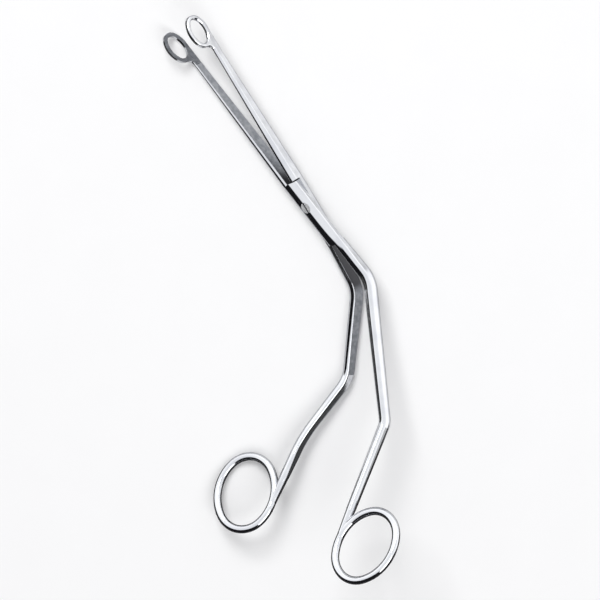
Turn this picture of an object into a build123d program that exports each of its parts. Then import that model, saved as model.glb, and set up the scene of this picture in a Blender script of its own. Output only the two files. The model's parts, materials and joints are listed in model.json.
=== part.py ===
from build123d import *
from math import atan2, cos, degrees, radians, sin, tan
import os

os.makedirs("parts", exist_ok=True)

# Magill forceps, adult size, lying on a table with the jaws a little open.
# All sizes are in millimetres and degrees.
# Each half is laid out in its own closed position around the joint screw:
# x runs from the screw towards the tips, z along the screw towards the front half,
# and the flat inner faces of the two halves meet along the plane y = 0.
# The front half has its jaw on the +y side and crosses to the -y side at the screw.

# Opening at rest, and how the joint lies above the table
opening = 10.6
joint_height = 7.24
joint_along = 25.42
joint_across = -50.62
lie_roll = -40.34
lie_pitch = -0.1
lie_turn = -0.08

# Lap joint: two plates, one on the other, with a step in front and behind
lap_front = 12.7
lap_rear = 19.8
jaw_side_reach = 3.8
front_cross_reach = 4.5
back_cross_reach = 3.4
plate_thickness = 2.6
plate_round = 1.2
plate_slant = 1.2
step_gap = 0.15
lap_gap = 0.04

# Joint screw
screw_diameter = 2.6
head_diameter = 5.0
head_height = 1.1
slot_width = 0.8
slot_depth = 0.5
screw_clearance = 0.04

# Jaw arms and their serrated loops
loop_distance = 88.1
arm_gap = 0.25
loop_gap = 0.02
stalk_width = 3.15
stalk_length = 6.0
stalk_inner_round = 0.15
loop_thickness = 1.7
loop_edge_round = 0.6
eye_length = 11.4
eye_width = 7.3
eye_end_inset = 0.9
eye_chamfer = 0.4
loop_rim = 1.75
shoulder_round = 3.0
edge_inset = 0.1
tooth_pitch = 0.7
tooth_depth = 0.25
serrated_length = 18.6

# Shanks: the length of each run between the corners of its bends, and its direction
# as a swing in the plane of the joint and a rise out of it
rear_run = 40.9
mid_rise_angle = 26.0
front_bend_level = 0.3
front_mid_run = 61.8
front_mid_swing_angle = 19.0
front_low_run = 53.9
front_low_swing_angle = 45.7
front_low_rise_angle = 43.2
back_bend_level = 0.9
back_mid_run = 39.3
back_mid_swing_angle = 26.8
back_low_run = 31.9
back_low_swing_angle = 59.9
back_low_rise_angle = 43.3
back_end_run = 32.6
back_end_swing_angle = 39.4
back_end_rise_angle = 43.9
first_bend_radius = 16.0
front_second_bend_radius = 8.0
back_second_bend_radius = 16.0
bow_radius = 60.0

# Shank sections: width, depth, and the rounding of the outer and inner corners
inner_round = 0.3
front_rear_width = 3.7
back_rear_width = 3.4
mid_width = 5.3
mid_depth = 4.1
mid_round = 1.8
mid_inner_round = 0.5
low_width = 4.7
low_depth = 3.9
low_round = 1.8
low_inner_round = 1.1
bow_width = 4.2
bow_depth = 3.8
neck_diameter = 4.1
neck_length = 14.0
neck_flat = 0.1
neck_inset = 0.05
end_diameter = 3.1

# Finger rings: ovals of four arcs, tangent to the ends of the shanks.
# Length and width are measured on the middle of the rod.
# An oval's end inset is what its end radius lacks to half its width.
ring_length = 32.1
ring_width = 26.6
ring_end_inset = 1.5
front_ring_lean_angle = 20.7
back_ring_lean_angle = 14.6
ring_swing_angle = 48.1
rod_width = 3.5
rod_height = 3.3


def slope(swing, rise):
    """Direction of a run that swings in the plane of the joint and rises out of it."""
    flat = cos(radians(rise))
    return Vector(-flat * cos(radians(swing)), flat * sin(radians(swing)), sin(radians(rise)))


# The joint as it lies, and each half turned open about the screw
joint_place = Pos(joint_along, joint_across, joint_height) * Rot(lie_roll, lie_pitch, lie_turn)
front_frame = Plane(joint_place * Rot(0, 0, opening / 2))
back_frame = Plane(joint_place * Rot(0, 0, -opening / 2))


def placed(frame, origin, x_dir, z_dir):
    """A sketch plane given in a half's own coordinates."""
    start = frame.from_local_coords(Vector(0, 0, 0))
    return Plane(
        frame.from_local_coords(Vector(origin)),
        x_dir=frame.from_local_coords(Vector(x_dir)) - start,
        z_dir=frame.from_local_coords(Vector(z_dir)) - start,
    )


def bar_section(plane, width, depth, outer_corner, inner_corner):
    """Section of a bar: flat on its inner side, well rounded on its outer side."""
    with BuildSketch(plane) as section:
        Rectangle(width, depth)
        fillet(section.vertices().group_by(Axis.Y)[-1], outer_corner)
        fillet(section.vertices().group_by(Axis.Y)[0], inner_corner)
    return section.sketch


def bar_run(start, end, start_size, end_size):
    """Straight tapering stretch of a bar between two sections."""
    loft([bar_section(start, *start_size), bar_section(end, *end_size)], ruled=True)


def bar_bend(plane, direction, radius, size):
    """Bend of a bar: its section carried round to a new direction."""
    square = plane.z_dir.cross(direction).normalized()
    turn = plane.z_dir.get_angle(direction)
    arm = square.cross(plane.z_dir) * radius
    centre = plane.origin + arm
    revolve(bar_section(plane, *size), Axis(centre, square), turn)
    spin = Axis((0, 0, 0), square)
    return Plane(
        centre - arm.rotate(spin, turn),
        x_dir=plane.x_dir.rotate(spin, turn),
        z_dir=direction,
    )


joint_depth = jaw_side_reach - arm_gap
joint_size = (2 * plate_thickness, joint_depth, plate_round, inner_round)
mid_size = (mid_width, mid_depth, mid_round, mid_inner_round)
low_size = (low_width, low_depth, low_round, low_inner_round)
bow_size = (bow_width, bow_depth, low_round, low_inner_round)
neck_round = (neck_diameter - neck_flat) / 2
neck_size = (neck_diameter, neck_diameter, neck_round, neck_round)


def oval_arcs(length, width, end_inset):
    """Oval of four tangent arcs: centre, radius, start angle and size of each arc."""
    half_length = length / 2
    half_width = width / 2
    end_radius = half_width - end_inset
    end_reach = half_length - end_radius
    side_radius = (half_width**2 + half_length**2 - 2 * half_length * end_radius) / (2 * end_inset)
    side_reach = side_radius - half_width
    join = degrees(atan2(side_reach, end_reach))
    return (
        ((end_reach, 0), end_radius, -join, 2 * join),
        ((0, -side_reach), side_radius, join, 180 - 2 * join),
        ((-end_reach, 0), end_radius, 180 - join, 2 * join),
        ((0, side_reach), side_radius, 180 + join, 180 - 2 * join),
    )


def oval_face(place, length, width, mode=Mode.ADD):
    """Filled oval of a loop in the current sketch."""
    with BuildLine(Location(place)) as outline:
        for centre, radius, start, arc in oval_arcs(length, width, eye_end_inset):
            CenterArc(centre, radius, start, arc)
    make_face(outline.edges(), mode=mode)


def lap_plate(frame, side, cross_reach):
    """Half of the lap joint: a plate that lies on the other half's plate."""
    with BuildSketch(placed(frame, (0, 0, side * lap_gap / 2), (1, 0, 0), (0, 0, 1))) as outline:
        with BuildLine():
            Polyline(
                (lap_front + step_gap, side * jaw_side_reach),
                (lap_front + step_gap, side * arm_gap),
                (lap_front, 0),
                (lap_front - plate_slant, -side * cross_reach),
                (-lap_rear - step_gap, -side * cross_reach),
                (-lap_rear - step_gap, -side * arm_gap),
                (-lap_rear, 0),
                (-lap_rear + plate_slant, side * jaw_side_reach),
                close=True,
            )
        make_face()
    extrude(outline.sketch, amount=side * (plate_thickness - lap_gap / 2))
    top_edges = edges(Select.LAST).group_by(Axis((0, 0, 0), frame.z_dir * side))[-1]
    long_edges = top_edges.sort_by(Axis((0, 0, 0), frame.y_dir))
    fillet((long_edges[0], long_edges[-1]), plate_round)


def jaw(frame, side):
    """Jaw arm, tapering from the lap joint to the stalk of the loop."""
    arm_start = lap_front + step_gap
    stalk_start = loop_distance - eye_length / 2 - loop_rim - stalk_length
    root = placed(frame, (arm_start, side * (arm_gap + joint_depth / 2), 0), (0, 0, -side), (1, 0, 0))
    stalk_middle = side * (loop_gap + loop_thickness / 2)
    stalk = placed(frame, (stalk_start, stalk_middle, 0), (0, 0, -side), (1, 0, 0))
    stalk_size = (stalk_width, loop_thickness, loop_edge_round, stalk_inner_round)
    bar_run(root, stalk, joint_size, stalk_size)


def loop_end(frame, side):
    """Serrated loop at the tip, with its stalk along one edge."""
    loop_length = eye_length + 2 * loop_rim
    loop_width = eye_width + 2 * loop_rim
    loop_offset = (loop_width - stalk_width) / 2 - edge_inset
    stalk_end = loop_distance - loop_length / 2 - stalk_length
    middle = (loop_distance, loop_offset)
    face = placed(frame, (0, side * loop_gap, 0), (1, 0, 0), (0, -1, 0))
    with BuildSketch(face) as outline:
        oval_face(middle, loop_length, loop_width)
        with Locations(((stalk_end + loop_distance) / 2, 0)):
            Rectangle(loop_distance - stalk_end, stalk_width)
        shoulder = outline.vertices().sort_by(Axis.X)[2]
        fillet(shoulder, shoulder_round)
        oval_face(middle, eye_length, eye_width, mode=Mode.SUBTRACT)
    extrude(outline.sketch, amount=-side * loop_thickness)
    outward = Axis((0, 0, 0), frame.y_dir * side)
    outer_face = faces(Select.LAST).sort_by(outward)[-1]
    chamfer(outer_face.inner_wires()[0].edges(), eye_chamfer)
    outer_face = faces(Select.LAST).filter_by(GeomType.PLANE).sort_by(outward)[-1]
    rim_edges = outer_face.outer_wire().edges().sort_by(Axis((0, 0, 0), frame.x_dir))
    fillet(rim_edges[1:], loop_edge_round)


def serrations(frame, side):
    """Transverse teeth cut into the inner face of the loop."""
    tip = loop_distance + eye_length / 2 + loop_rim
    top = placed(frame, (tip, side * loop_gap, -stalk_width), (1, 0, 0), (0, 0, 1))
    groove = side * tooth_depth
    with BuildSketch(top) as grooves:
        for count in range(int(serrated_length / tooth_pitch)):
            with BuildLine(Location((-tooth_pitch * (count + 1), 0))):
                Polyline(
                    (-tooth_pitch / 2, -side * loop_gap),
                    (0, groove),
                    (tooth_pitch / 2, -side * loop_gap),
                    close=True,
                )
            make_face()
    extrude(grooves.sketch, amount=eye_width + 2 * loop_rim + 2 * stalk_width, mode=Mode.SUBTRACT)


def shank(frame, side, points, sizes, radii):
    """Bent shank: tapering runs joined by bends from behind the lap, and a round neck at the ring."""
    spots = [frame.from_local_coords(point) for point in points]
    ways = [(after - before).normalized() for before, after in zip(spots, spots[1:])]
    plane = placed(frame, points[0], (0, 0, -side), (-1, 0, 0))
    for number, radius in enumerate(radii):
        reach = radius * tan(radians(ways[number].get_angle(ways[number + 1]) / 2))
        bend = Plane(
            spots[number + 1] - ways[number] * reach,
            x_dir=plane.x_dir,
            z_dir=ways[number],
        )
        bar_run(plane, bend, sizes[number], sizes[number + 1])
        plane = bar_bend(bend, ways[number + 1], radius, sizes[number + 1])
    neck = Plane(spots[-1] - plane.z_dir * neck_length, x_dir=plane.x_dir, z_dir=plane.z_dir)
    bar_run(plane, neck, sizes[-2], sizes[-1])
    with Locations(neck):
        Cone(
            neck_diameter / 2 - neck_inset,
            end_diameter / 2,
            neck_length,
            align=(Align.CENTER, Align.CENTER, Align.MIN),
        )


def finger_ring(frame, side, touch, way, lean):
    """Oval finger ring of rod, tangent to the shank's end and outside of it."""
    outward = slope(ring_swing_angle - side * 90, 0)
    outward = (outward - way * outward.dot(way)).normalized()
    long_way = way * cos(radians(lean)) - outward * sin(radians(lean))
    wide_way = way * sin(radians(lean)) + outward * cos(radians(lean))
    arcs = oval_arcs(ring_length, ring_width, ring_end_inset)
    (_, side_centre), side_radius = arcs[1][:2]
    centre = (
        touch
        - long_way * side_radius * sin(radians(lean))
        + wide_way * (side_radius * cos(radians(lean)) + side_centre)
    )
    oval = placed(frame, centre, long_way, long_way.cross(wide_way))
    for (along, across), radius, start, arc in arcs:
        middle = oval.from_local_coords(Vector(along, across, 0))
        arm = oval.x_dir.rotate(Axis((0, 0, 0), oval.z_dir), start)
        with BuildSketch(Plane(middle + arm * radius, x_dir=arm, z_dir=oval.z_dir.cross(arm))) as rod:
            Ellipse(rod_width / 2, rod_height / 2)
        revolve(rod.sketch, Axis(middle, oval.z_dir), arc)


def handle(frame, side, runs, rear_size, bend_level, sizes, radii, lean):
    """Shank and finger ring of one half."""
    root_level = plate_thickness - rear_size[0] / 2
    points = [
        Vector(-lap_rear - step_gap, -side * (arm_gap + rear_size[1] / 2), side * root_level),
        Vector(-rear_run, -side * (arm_gap + mid_depth / 2), side * bend_level),
    ]
    for run, swing, rise in runs:
        points.append(points[-1] + slope(swing, rise) * run)
    shank(frame, side, points, (rear_size, *sizes, neck_size), radii)
    finger_ring(frame, side, points[-1], slope(*runs[-1][1:]), lean)


with BuildPart() as front_half:
    lap_plate(front_frame, 1, front_cross_reach)
    loop_end(front_frame, 1)
    serrations(front_frame, 1)
    jaw(front_frame, 1)
    handle(
        front_frame,
        1,
        runs=(
            (front_mid_run, front_mid_swing_angle, mid_rise_angle),
            (front_low_run, front_low_swing_angle, front_low_rise_angle),
        ),
        rear_size=(front_rear_width, front_cross_reach - arm_gap, plate_round, inner_round),
        bend_level=front_bend_level,
        sizes=(mid_size, low_size),
        radii=(first_bend_radius, front_second_bend_radius),
        lean=front_ring_lean_angle,
    )
    with Locations(placed(front_frame, (0, 0, plate_thickness), (1, 0, 0), (0, 0, 1))):
        CounterBoreHole(
            screw_diameter / 2 + screw_clearance,
            head_diameter / 2 + screw_clearance,
            head_height + screw_clearance,
        )
front_half.part.label = "front_half"

with BuildPart() as back_half:
    lap_plate(back_frame, -1, back_cross_reach)
    loop_end(back_frame, -1)
    serrations(back_frame, -1)
    jaw(back_frame, -1)
    handle(
        back_frame,
        -1,
        runs=(
            (back_mid_run, back_mid_swing_angle, mid_rise_angle),
            (back_low_run, back_low_swing_angle, back_low_rise_angle),
            (back_end_run, back_end_swing_angle, back_end_rise_angle),
        ),
        rear_size=(back_rear_width, back_cross_reach - arm_gap, plate_round, inner_round),
        bend_level=back_bend_level,
        sizes=(mid_size, low_size, bow_size),
        radii=(first_bend_radius, back_second_bend_radius, bow_radius),
        lean=back_ring_lean_angle,
    )
    with Locations(placed(back_frame, (0, 0, 0), (1, 0, 0), (0, 0, 1))):
        Hole(screw_diameter / 2)
back_half.part.label = "back_half"

with BuildPart() as joint_screw:
    with BuildSketch(placed(back_frame, (0, 0, -plate_thickness), (1, 0, 0), (0, 0, 1))) as stem:
        Circle(screw_diameter / 2)
    extrude(stem.sketch, amount=2 * plate_thickness - head_height)
    with BuildSketch(placed(back_frame, (0, 0, plate_thickness), (1, 0, 0), (0, 0, -1))) as head:
        Circle(head_diameter / 2)
    extrude(head.sketch, amount=head_height)
    with BuildSketch(placed(back_frame, (0, 0, plate_thickness), (1, 0, 0), (0, 0, -1))) as slot:
        Rectangle(head_diameter + slot_width, slot_width)
    extrude(slot.sketch, amount=slot_depth, mode=Mode.SUBTRACT)
joint_screw.part.label = "joint_screw"

export_step(front_half.part, "parts/front_half.step")
export_step(back_half.part, "parts/back_half.step")
export_step(joint_screw.part, "parts/joint_screw.step")
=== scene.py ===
"""Magill forceps in polished stainless steel, lying on a pale table.

The forged halves and the joint screw are the frame's own nodes. This script gives them
their finishes, and adds the table, the studio light and the camera.
"""

import json
import math

import bpy
from mathutils import Matrix, Vector

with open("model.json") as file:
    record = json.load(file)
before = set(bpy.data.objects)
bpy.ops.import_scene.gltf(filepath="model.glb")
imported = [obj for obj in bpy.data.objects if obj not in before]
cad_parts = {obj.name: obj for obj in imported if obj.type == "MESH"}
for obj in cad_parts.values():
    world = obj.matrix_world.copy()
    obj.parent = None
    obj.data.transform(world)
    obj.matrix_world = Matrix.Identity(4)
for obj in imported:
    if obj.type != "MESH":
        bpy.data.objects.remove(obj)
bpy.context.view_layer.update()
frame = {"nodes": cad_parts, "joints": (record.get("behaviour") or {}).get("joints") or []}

MM = 0.001

# Joint of the forceps, in metres: the screw's middle and its axis, towards the screw's head.
# The opening is the angle between the jaws at rest, in degrees
joint = frame["joints"][0]
screw_middle = Vector(joint["pos_m"])
screw_axis = Vector(joint["axis"]).normalized()
jaw_opening = 10.6

# Lap plates: how far they go in front of the screw's middle and behind it
lap_front = 12.7 * MM
lap_rear = 19.8 * MM

# Jaws: where their taper starts and ends in front of the screw, how wide they are there from
# the inner face to the outer edge, and where the stalk meets the loop
taper_start, taper_end = 12.85 * MM, 73 * MM
jaw_width_start, jaw_width_end = 3.55 * MM, 1.7 * MM
stalk_end = 80 * MM

# Shanks: the first bend, behind the screw, and the middle run that goes on from it. The swing
# is in the joint's plane and the rise out of it, in degrees
bend_distance = 40.9 * MM
bend_inset = 0.25 * MM
bend_level = {"front_half": 0.3 * MM, "back_half": 0.9 * MM}
middle_run = {"front_half": 61.8 * MM, "back_half": 39.3 * MM}
middle_swing = {"front_half": 19.0, "back_half": 26.8}
middle_rise = 26.0

# Screw: its head's top above the screw's middle, the depths below it between which the slot's
# shade fades out, and the pitch of the lathe's rings
head_top = 2.6 * MM
slot_fade = (0.2 * MM, 0.05 * MM)
ring_pitch = 0.16 * MM

# Ground faces: how far they may lie from their plane, or from the bend, and how squarely they
# face along its normal, as the cosines where the finish starts and is full. On the middle run
# the finish ends at a share of its length from its middle
inner_face_reach = 0.45 * MM
inner_face_facing = (0.6, 0.78)
shank_face_reach = 1.5 * MM
shank_face_facing = (0.9, 0.97)
shank_face_share = 0.47
bend_face_reach = 9 * MM
bend_face_facing = (0.86, 0.92)

# Painted shade in the recesses: half the length over which the painted shade behind the lap fades
# at the bend, and how far in front of the lap the crotch's painted shade ends and is full
recess_shade_fade = 2 * MM
crotch_shade_fade = (11 * MM, 1 * MM)

# Crown left by the polishing wheel: how far the normal leans at the edge, how squarely a broad
# face lies across the screw's axis, and where the lean starts and is full. On the lap that is
# in metres, across and along the half, and on the jaws in widths of the jaw
crown_slope = 1.0
broad_facing = (0.8, 0.95)
lap_crown = (-2.4 * MM, 3.4 * MM)
lap_crown_reach = (-40 * MM, -8 * MM)
lap_crown_margin = 0.3 * MM
jaw_crown = {1: (-1.0, 0.1), -1: (-0.1, 0.9)}

# Steel colours, each with the one it turns to in its clouds or mottles
polished_colour, cloud_colour = (0.62, 0.63, 0.65, 1), (0.55, 0.56, 0.59, 1)
ground_colour, mottle_colour = (0.31, 0.32, 0.34, 1), (0.20, 0.21, 0.23, 1)
screw_colour, screw_cloud_colour = (0.95, 0.95, 0.96, 1), (0.82, 0.83, 0.85, 1)
edge_colour = (0.08, 0.08, 0.09, 1)
# Painted shade: the dark colour given to the recess behind the lap, the crotch in front of it and
# the screw's slot
painted_shade_colour = (0.07, 0.07, 0.075, 1)

# Patterns of the marks, where each starts to show and is full
cloud_range = (0.35, 0.7)
mottle_range = (0.3, 0.7)
hairline_range = (0.4, 0.75)

# Roughness of the steel, between its smoothest and roughest marks
polished_roughness = (0.06, 0.13)
ground_roughness = (0.34, 0.58)
screw_roughness = (0.42, 0.55)
slot_roughness = 0.6

# Relief of the marks
halves_bump_strength, halves_bump_depth = 0.35, 0.12 * MM
screw_bump_strength, screw_bump_depth = 0.25, 0.03 * MM
wave_share, hair_share = 0.30, 0.02

# Stretch of the marks: hairlines run along the forceps, and grinding lines across them
hairline_stretch = (0.06, 1, 1)
head_stretch = (1, 1, 1)
grinding_stretch = (1, 0.08, 0.08)

# Camera: the photograph's direction of view, and the width of its frame at the forceps
toward_viewer = Vector((-0.0022, -0.1739, 0.9848)).normalized()
picture_up = Vector((0.8252, -0.5566, -0.0965)).normalized()
picture_right = picture_up.cross(toward_viewer)
picture_centre = Vector((-5.49, -25.00, 11.70)) * MM
picture_width = 255.96 * MM
sensor_width = 36.0
focal_length = 400.0
far_limit = 100

# Table and the black cards on it, in metres
table_size = 12
table_colour, table_grain_colour = (0.93, 0.93, 0.93, 1), (0.91, 0.91, 0.91, 1)
table_roughness, table_gloss, table_grain_scale = 0.85, 0, 40
paper_colour, paper_fibre_colour = (0.01, 0.01, 0.01, 1), (0.02, 0.02, 0.02, 1)
paper_roughness, paper_gloss, paper_fibre_scale = 0.9, 0.5, 60
card_reach = 5.0
picture_down = Vector((-picture_up.x, -picture_up.y, 0)).normalized()
picture_left = Vector((-picture_right.x, -picture_right.y, 0)).normalized()

# Room: its light on the table, its ceiling in the metal from low to high, and its dark side,
# which leans away as it goes up
room_colour = (0.42, 0.42, 0.43, 1)
ceiling_low, ceiling_high = (1.7, 1.7, 1.7, 1), (1.25, 1.26, 1.28, 1)
ceiling_heights = (0.2, 0.95)
dark_colour = (0.012, 0.012, 0.014, 1)
dark_side = Vector((-0.707, 0.707, 0))
dark_lean = 0.45
dark_edge = (-0.12, 0.02)
lamp_distance = 2.0


# Small helpers for shader nodes


def add_node(tree, kind, **settings):
    """A node with its properties set."""
    made = tree.nodes.new(kind)
    for name, value in settings.items():
        setattr(made, name, value)
    return made


def feed(tree, socket, source):
    """Joins a socket to another node's output, or sets its value."""
    if isinstance(source, bpy.types.NodeSocket):
        tree.links.new(source, socket)
    else:
        socket.default_value = source


def maths(tree, operation, *sources):
    """Output of a Math node."""
    made = add_node(tree, "ShaderNodeMath", operation=operation)
    for socket, source in zip(made.inputs, sources):
        feed(tree, socket, source)
    return made.outputs[0]


def product(tree, *sources):
    """Several numbers multiplied."""
    result = sources[0]
    for source in sources[1:]:
        result = maths(tree, "MULTIPLY", result, source)
    return result


def vector_maths(tree, operation, *sources, output="Vector"):
    """Output of a Vector Math node."""
    made = add_node(tree, "ShaderNodeVectorMath", operation=operation)
    for socket, source in zip(made.inputs, sources):
        feed(tree, socket, source)
    return made.outputs[output]


def dot(tree, first, second):
    """How far one vector goes along another."""
    return vector_maths(tree, "DOT_PRODUCT", first, second, output="Value")


def smooth_step(tree, source, low, high):
    """0 below low, 1 above high, and a smooth change between them."""
    made = add_node(tree, "ShaderNodeMapRange", interpolation_type="SMOOTHSTEP")
    feed(tree, made.inputs["Value"], source)
    feed(tree, made.inputs["From Min"], low)
    feed(tree, made.inputs["From Max"], high)
    return made.outputs["Result"]


def mix_values(tree, share, first, second):
    """Number between two others."""
    made = add_node(tree, "ShaderNodeMix", data_type="FLOAT")
    feed(tree, made.inputs["Factor"], share)
    feed(tree, made.inputs["A"], first)
    feed(tree, made.inputs["B"], second)
    return made.outputs["Result"]


def mix_colours(tree, share, first, second):
    """Colour between two others. The node's colour sockets are found by their places."""
    made = add_node(tree, "ShaderNodeMix", data_type="RGBA")
    feed(tree, made.inputs["Factor"], share)
    feed(tree, made.inputs[6], first)
    feed(tree, made.inputs[7], second)
    return made.outputs[2]


def noise(tree, place, scale, detail=2, roughness=0.5):
    """Soft random pattern at a scale, in 1/m."""
    made = add_node(tree, "ShaderNodeTexNoise", noise_dimensions="3D")
    feed(tree, made.inputs["Vector"], place)
    made.inputs["Scale"].default_value = scale
    made.inputs["Detail"].default_value = detail
    made.inputs["Roughness"].default_value = roughness
    return made.outputs["Fac"]


def relief(tree, shader, strength, depth, height, normal=None):
    """Bump of a surface, on its own normal or on another."""
    made = add_node(tree, "ShaderNodeBump")
    made.inputs["Strength"].default_value = strength
    made.inputs["Distance"].default_value = depth
    feed(tree, made.inputs["Height"], height)
    if normal is not None:
        feed(tree, made.inputs["Normal"], normal)
    feed(tree, shader.inputs["Normal"], made.outputs["Normal"])


def new_group(name, inputs, outputs):
    """Empty shader group with named sockets, and its input and output nodes."""
    tree = bpy.data.node_groups.new(name, "ShaderNodeTree")
    for socket_name, kind in inputs:
        tree.interface.new_socket(socket_name, in_out="INPUT", socket_type=kind)
    for socket_name, kind in outputs:
        tree.interface.new_socket(socket_name, in_out="OUTPUT", socket_type=kind)
    return tree, tree.nodes.new("NodeGroupInput"), tree.nodes.new("NodeGroupOutput")


def place_group(tree, group, **sources):
    """A group placed in a material, with its inputs fed by name."""
    made = add_node(tree, "ShaderNodeGroup", node_tree=group)
    for name, source in sources.items():
        feed(tree, made.inputs[name.replace("_", " ")], source)
    return made


def new_material(name):
    """Material, the tree to build in, and its Principled shader."""
    made = bpy.data.materials.new(name)
    made.use_nodes = True
    return made, made.node_tree, made.node_tree.nodes["Principled BSDF"]


# Shared effects: polishing marks, grinding lines and the mask of a flat face


def polishing_marks():
    """Faint cloudiness, hairlines and waviness left by buffing."""
    tree, inside, outside = new_group(
        "polishing_marks",
        [("Place", "NodeSocketVector"), ("Hairline Stretch", "NodeSocketVector")],
        [
            ("Cloud", "NodeSocketFloat"),
            ("Hairlines", "NodeSocketFloat"),
            ("Height", "NodeSocketFloat"),
        ],
    )
    place = inside.outputs["Place"]
    stretched = vector_maths(tree, "MULTIPLY", place, inside.outputs["Hairline Stretch"])
    hairs = noise(tree, stretched, scale=900, detail=3)
    wave = noise(tree, place, scale=160, detail=1)
    height = maths(tree, "ADD", product(tree, wave, wave_share), product(tree, hairs, hair_share))
    feed(tree, outside.inputs["Cloud"], noise(tree, place, scale=90, detail=4))
    feed(tree, outside.inputs["Hairlines"], hairs)
    feed(tree, outside.inputs["Height"], height)
    return tree


def grinding_lines():
    """Fine parallel lines and mottling of a ground flat face."""
    tree, inside, outside = new_group(
        "grinding_lines",
        [("Place", "NodeSocketVector"), ("Line Stretch", "NodeSocketVector")],
        [("Lines", "NodeSocketFloat"), ("Mottle", "NodeSocketFloat")],
    )
    place = inside.outputs["Place"]
    stretched = vector_maths(tree, "MULTIPLY", place, inside.outputs["Line Stretch"])
    lines = noise(tree, stretched, scale=2400, detail=5, roughness=0.7)
    feed(tree, outside.inputs["Lines"], lines)
    feed(tree, outside.inputs["Mottle"], noise(tree, place, scale=520, detail=6))
    return tree


def flat_face_mask():
    """1 on faces that face along a direction, or against it, and lie near a plane."""
    tree, inside, outside = new_group(
        "flat_face_mask",
        [
            ("Place", "NodeSocketVector"),
            ("Face Normal", "NodeSocketVector"),
            ("Plane Point", "NodeSocketVector"),
            ("Plane Normal", "NodeSocketVector"),
            ("Plane Reach", "NodeSocketFloat"),
            ("Least Facing", "NodeSocketFloat"),
            ("Most Facing", "NodeSocketFloat"),
        ],
        [("Mask", "NodeSocketFloat")],
    )
    given = inside.outputs
    offset = vector_maths(tree, "SUBTRACT", given["Place"], given["Plane Point"])
    height = maths(tree, "ABSOLUTE", dot(tree, offset, given["Plane Normal"]))
    near = maths(tree, "LESS_THAN", height, given["Plane Reach"])
    facing = maths(tree, "ABSOLUTE", dot(tree, given["Face Normal"], given["Plane Normal"]))
    square = smooth_step(tree, facing, given["Least Facing"], given["Most Facing"])
    feed(tree, outside.inputs["Mask"], product(tree, near, square))
    return tree


polishing_group = polishing_marks()
grinding_group = grinding_lines()
mask_group = flat_face_mask()


# The halves' own directions. The side is 1 for the front half and -1 for the back half


def slope(swing, rise, along, across):
    """Direction of a run of a shank that swings across and rises along the screw's axis."""
    flat = math.cos(math.radians(rise))
    return (
        along * (-flat * math.cos(math.radians(swing)))
        + across * (flat * math.sin(math.radians(swing)))
        + screw_axis * math.sin(math.radians(rise))
    )


def half_directions(name, side):
    """Along and across one half, along its middle run, and out of that run's inner face."""
    turn = Matrix.Rotation(math.radians(side * jaw_opening / 2), 3, screw_axis)
    level = Vector((1, 0, 0))
    along = turn @ (level - screw_axis * level.dot(screw_axis)).normalized()
    across = screw_axis.cross(along)
    run = slope(middle_swing[name], middle_rise, along, across)
    bend = (-along).rotation_difference(run)
    return along, across, run, bend @ (across * side)


# Finishes


def ground_mask(tree, place, facing, reach, name, side):
    """1 on the jaw's and the middle run's inner faces, and in the first bend between them."""
    along, across, run, inner = half_directions(name, side)
    jaw_face = place_group(
        tree,
        mask_group,
        Place=place,
        Face_Normal=facing,
        Plane_Point=screw_middle,
        Plane_Normal=across,
        Plane_Reach=inner_face_reach,
        Least_Facing=inner_face_facing[0],
        Most_Facing=inner_face_facing[1],
    )
    ahead = maths(tree, "GREATER_THAN", reach, -bend_distance)
    jaw = product(tree, jaw_face.outputs["Mask"], ahead)

    bend_point = screw_middle - along * bend_distance - across * (side * bend_inset)
    bend_point += screw_axis * (side * bend_level[name])
    run_middle = bend_point + run * middle_run[name] / 2
    shank_face = place_group(
        tree,
        mask_group,
        Place=place,
        Face_Normal=facing,
        Plane_Point=run_middle,
        Plane_Normal=inner,
        Plane_Reach=shank_face_reach,
        Least_Facing=shank_face_facing[0],
        Most_Facing=shank_face_facing[1],
    )
    progress = dot(tree, vector_maths(tree, "SUBTRACT", place, run_middle), run)
    half_length = middle_run[name] * shank_face_share
    within = maths(tree, "LESS_THAN", maths(tree, "ABSOLUTE", progress), half_length)
    shank = product(tree, shank_face.outputs["Mask"], within)

    bend_facing = dot(tree, facing, (across * side + inner).normalized())
    offset = vector_maths(tree, "SUBTRACT", place, bend_point)
    distance = vector_maths(tree, "LENGTH", offset, output="Value")
    bend = product(
        tree,
        smooth_step(tree, bend_facing, *bend_face_facing),
        maths(tree, "LESS_THAN", distance, bend_face_reach),
    )
    return maths(tree, "MAXIMUM", maths(tree, "MAXIMUM", jaw, bend), shank)


def painted_shade_mask(tree, reach):
    """Where shade is painted: 1 in the recess behind the lap and in the crotch in front of it."""
    behind = product(
        tree,
        maths(tree, "LESS_THAN", reach, -lap_rear),
        smooth_step(tree, reach, -bend_distance - recess_shade_fade, -bend_distance + recess_shade_fade),
    )
    backwards = product(tree, reach, -1.0)
    crotch = product(
        tree,
        maths(tree, "GREATER_THAN", reach, 0.0),
        smooth_step(tree, backwards, -lap_front - crotch_shade_fade[0], -lap_front - crotch_shade_fade[1]),
    )
    return maths(tree, "MAXIMUM", behind, crotch)


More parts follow.
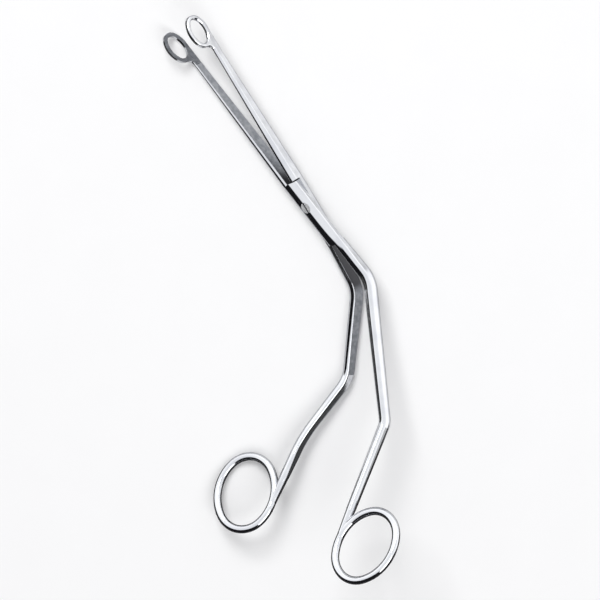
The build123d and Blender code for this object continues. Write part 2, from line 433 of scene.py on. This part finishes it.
def crowned_normal(tree, offset, facing, reach, across, side):
    """Normal of the lap's and the jaw's broad faces, crowned by the polishing wheel."""
    edge = dot(tree, offset, -across)
    top = dot(tree, facing, screw_axis)
    lap = product(
        tree,
        smooth_step(tree, product(tree, edge, side), *lap_crown),
        smooth_step(tree, product(tree, top, side), *broad_facing),
        smooth_step(tree, reach, *lap_crown_reach),
        maths(tree, "LESS_THAN", reach, lap_front + lap_crown_margin),
    )
    width = add_node(tree, "ShaderNodeMapRange")
    feed(tree, width.inputs["Value"], reach)
    width.inputs["From Min"].default_value = taper_start
    width.inputs["From Max"].default_value = taper_end
    width.inputs["To Min"].default_value = jaw_width_start
    width.inputs["To Max"].default_value = jaw_width_end
    jaw = product(
        tree,
        smooth_step(tree, maths(tree, "DIVIDE", edge, width.outputs["Result"]), *jaw_crown[side]),
        smooth_step(tree, top, *broad_facing),
        maths(tree, "GREATER_THAN", reach, lap_front),
        maths(tree, "LESS_THAN", reach, stalk_end),
    )
    lap_lean = vector_maths(tree, "MULTIPLY", lap, across * (-side * crown_slope))
    jaw_lean = vector_maths(tree, "MULTIPLY", jaw, across * -crown_slope)
    lean = vector_maths(tree, "ADD", lap_lean, jaw_lean)
    tilted = vector_maths(tree, "NORMALIZE", vector_maths(tree, "ADD", facing, lean))
    turned = add_node(
        tree,
        "ShaderNodeVectorTransform",
        vector_type="NORMAL",
        convert_from="OBJECT",
        convert_to="WORLD",
    )
    feed(tree, turned.inputs["Vector"], tilted)
    return turned.outputs["Vector"]


def forged_steel(name, side):
    """Polished forged half with its flat inner faces left ground, and painted shade in the recess
    behind the lap and the crotch in front of it.
    """
    material, tree, shader = new_material(name + "_steel")
    along, across = half_directions(name, side)[:2]
    coordinates = add_node(tree, "ShaderNodeTexCoord")
    place = coordinates.outputs["Object"]
    facing = coordinates.outputs["Normal"]
    offset = vector_maths(tree, "SUBTRACT", place, screw_middle)
    reach = dot(tree, offset, along)
    ground = ground_mask(tree, place, facing, reach, name, side)
    polish = place_group(tree, polishing_group, Place=place, Hairline_Stretch=hairline_stretch)
    grinding = place_group(tree, grinding_group, Place=place, Line_Stretch=grinding_stretch)
    lines = grinding.outputs["Lines"]

    cloud = smooth_step(tree, polish.outputs["Cloud"], *cloud_range)
    mottle = smooth_step(tree, grinding.outputs["Mottle"], *mottle_range)
    polished = mix_colours(tree, cloud, polished_colour, cloud_colour)
    mottled = mix_colours(tree, mottle, ground_colour, mottle_colour)
    # Painted shade: the ground colour is darkened in the recess behind the lap and in the crotch
    # in front of it
    mottled = mix_colours(tree, painted_shade_mask(tree, reach), mottled, painted_shade_colour)
    feed(tree, shader.inputs["Base Color"], mix_colours(tree, ground, polished, mottled))

    hairs = smooth_step(tree, polish.outputs["Hairlines"], *hairline_range)
    smooth = mix_values(tree, hairs, *polished_roughness)
    rough = mix_values(tree, lines, *ground_roughness)
    feed(tree, shader.inputs["Roughness"], mix_values(tree, ground, smooth, rough))
    shader.inputs["Metallic"].default_value = 1
    shader.inputs["Specular Tint"].default_value = edge_colour

    height = mix_values(tree, ground, polish.outputs["Height"], lines)
    crowned = crowned_normal(tree, offset, facing, reach, across, side)
    relief(tree, shader, halves_bump_strength, halves_bump_depth, height, crowned)
    return material


def turned_steel():
    """Joint screw, with the rings that the lathe left on its head, and painted shade in its slot.
    """
    material, tree, shader = new_material("screw_steel")
    place = add_node(tree, "ShaderNodeTexCoord").outputs["Object"]
    offset = vector_maths(tree, "SUBTRACT", place, screw_middle)
    level = dot(tree, offset, screw_axis)
    top = smooth_step(tree, level, head_top - slot_fade[0], head_top - slot_fade[1])
    polish = place_group(tree, polishing_group, Place=place, Hairline_Stretch=head_stretch)
    cloudy = mix_colours(tree, polish.outputs["Cloud"], screw_colour, screw_cloud_colour)
    # Painted shade: below the head's top, in the slot, the colour turns to the dark shade colour
    feed(tree, shader.inputs["Base Color"], mix_colours(tree, top, painted_shade_colour, cloudy))
    turned = mix_values(tree, polish.outputs["Hairlines"], *screw_roughness)
    feed(tree, shader.inputs["Roughness"], mix_values(tree, top, slot_roughness, turned))
    shader.inputs["Metallic"].default_value = 1
    outward = vector_maths(tree, "CROSS_PRODUCT", offset, screw_axis)
    radius = vector_maths(tree, "LENGTH", outward, output="Value")
    rings = maths(tree, "SINE", product(tree, radius, 2 * math.pi / ring_pitch))
    relief(tree, shader, screw_bump_strength, screw_bump_depth, rings)
    return material


def finish_node(name, material):
    """Gives a CAD node its finish."""
    node = frame["nodes"][name]
    node.data.materials.clear()
    node.data.materials.append(material)


finish_node("front_half", forged_steel("front_half", 1))
finish_node("back_half", forged_steel("back_half", -1))
finish_node("joint_screw", turned_steel())


# Table, light and camera


def matt_material(name, scale, colour, grain_colour, roughness, gloss):
    """Matt material with a faint grain."""
    material, tree, shader = new_material(name)
    place = add_node(tree, "ShaderNodeTexCoord").outputs["Object"]
    grain = noise(tree, place, scale)
    feed(tree, shader.inputs["Base Color"], mix_colours(tree, grain, colour, grain_colour))
    shader.inputs["Roughness"].default_value = roughness
    shader.inputs["Specular IOR Level"].default_value = gloss
    return material


def table():
    """Pale matt table top, far wider than the forceps, without gloss."""
    bpy.ops.object.select_all(action="DESELECT")
    bpy.ops.mesh.primitive_plane_add(size=table_size, location=(0, 0, 0))
    top = bpy.context.object
    top.name = "table_top"
    paint = matt_material(
        "table_paint",
        table_grain_scale,
        table_colour,
        table_grain_colour,
        table_roughness,
        table_gloss,
    )
    top.data.materials.append(paint)


def black_card(name, outward, distance, height, material):
    """Black card flat on the table, beside the picture. Only the metal shows it."""
    bpy.ops.object.select_all(action="DESELECT")
    middle = picture_centre + outward * (distance + card_reach / 2)
    bpy.ops.mesh.primitive_plane_add(
        size=1,
        location=(middle.x, middle.y, height),
        rotation=(0, 0, math.atan2(outward.y, outward.x)),
    )
    card = bpy.context.object
    card.name = name
    card.scale = (card_reach, 2 * card_reach, 1)
    card.data.materials.append(material)
    card.visible_camera = False
    card.visible_diffuse = False
    card.visible_shadow = False


def studio_world():
    """Pale room. In the metal its lower side, as the picture has it, is dark."""
    world = bpy.data.worlds.new("studio")
    bpy.context.scene.world = world
    world.use_nodes = True
    tree = world.node_tree
    background = tree.nodes["Background"]
    direction = add_node(tree, "ShaderNodeTexCoord").outputs["Generated"]
    side = dot(tree, direction, dark_side)
    height = dot(tree, direction, Vector((0, 0, 1)))
    climb = smooth_step(tree, height, *ceiling_heights)
    ceiling = mix_colours(tree, climb, ceiling_low, ceiling_high)
    shade = maths(tree, "SUBTRACT", side, product(tree, height, dark_lean))
    mirrored = mix_colours(tree, smooth_step(tree, shade, *dark_edge), ceiling, dark_colour)
    path = add_node(tree, "ShaderNodeLightPath")
    lit = mix_colours(tree, path.outputs["Is Glossy Ray"], room_colour, mirrored)
    seen = mix_colours(tree, path.outputs["Is Camera Ray"], lit, (1, 1, 1, 1))
    feed(tree, background.inputs["Color"], seen)
    background.inputs["Strength"].default_value = 1


def soft_light(name, toward, size, power):
    """Large square light that points at the middle of the picture."""
    place = picture_centre + toward.normalized() * lamp_distance
    bpy.ops.object.light_add(type="AREA", location=place)
    lamp = bpy.context.object
    lamp.name = name
    lamp.data.shape = "SQUARE"
    lamp.data.size = size
    lamp.data.energy = power
    lamp.rotation_euler = toward.to_track_quat("Z", "Y").to_euler()


def camera():
    """Long lens along the photograph's direction of view."""
    distance = picture_width * focal_length / sensor_width
    bpy.ops.object.camera_add()
    view = bpy.context.object
    view.name = "camera"
    view.data.sensor_width = sensor_width
    view.data.lens = focal_length
    view.data.clip_end = far_limit
    turned = Matrix((picture_right, picture_up, toward_viewer)).transposed().to_4x4()
    view.matrix_world = Matrix.Translation(picture_centre + toward_viewer * distance) @ turned
    bpy.context.scene.camera = view


table()
paper = matt_material(
    "black_paper",
    paper_fibre_scale,
    paper_colour,
    paper_fibre_colour,
    paper_roughness,
    paper_gloss,
)
black_card("lower_card", picture_down, distance=0.070, height=0.2 * MM, material=paper)
black_card("left_card", picture_left, distance=0.075, height=0.3 * MM, material=paper)
studio_world()
key_toward = toward_viewer - picture_right * 0.3 + picture_up * 0.6
fill_toward = toward_viewer + picture_right * 0.4 - picture_up * 0.7
soft_light("key_light", key_toward, size=1.0, power=23)
soft_light("fill_light", fill_toward, size=1.2, power=12)
camera()
bpy.context.scene.view_settings.view_transform = "Standard"
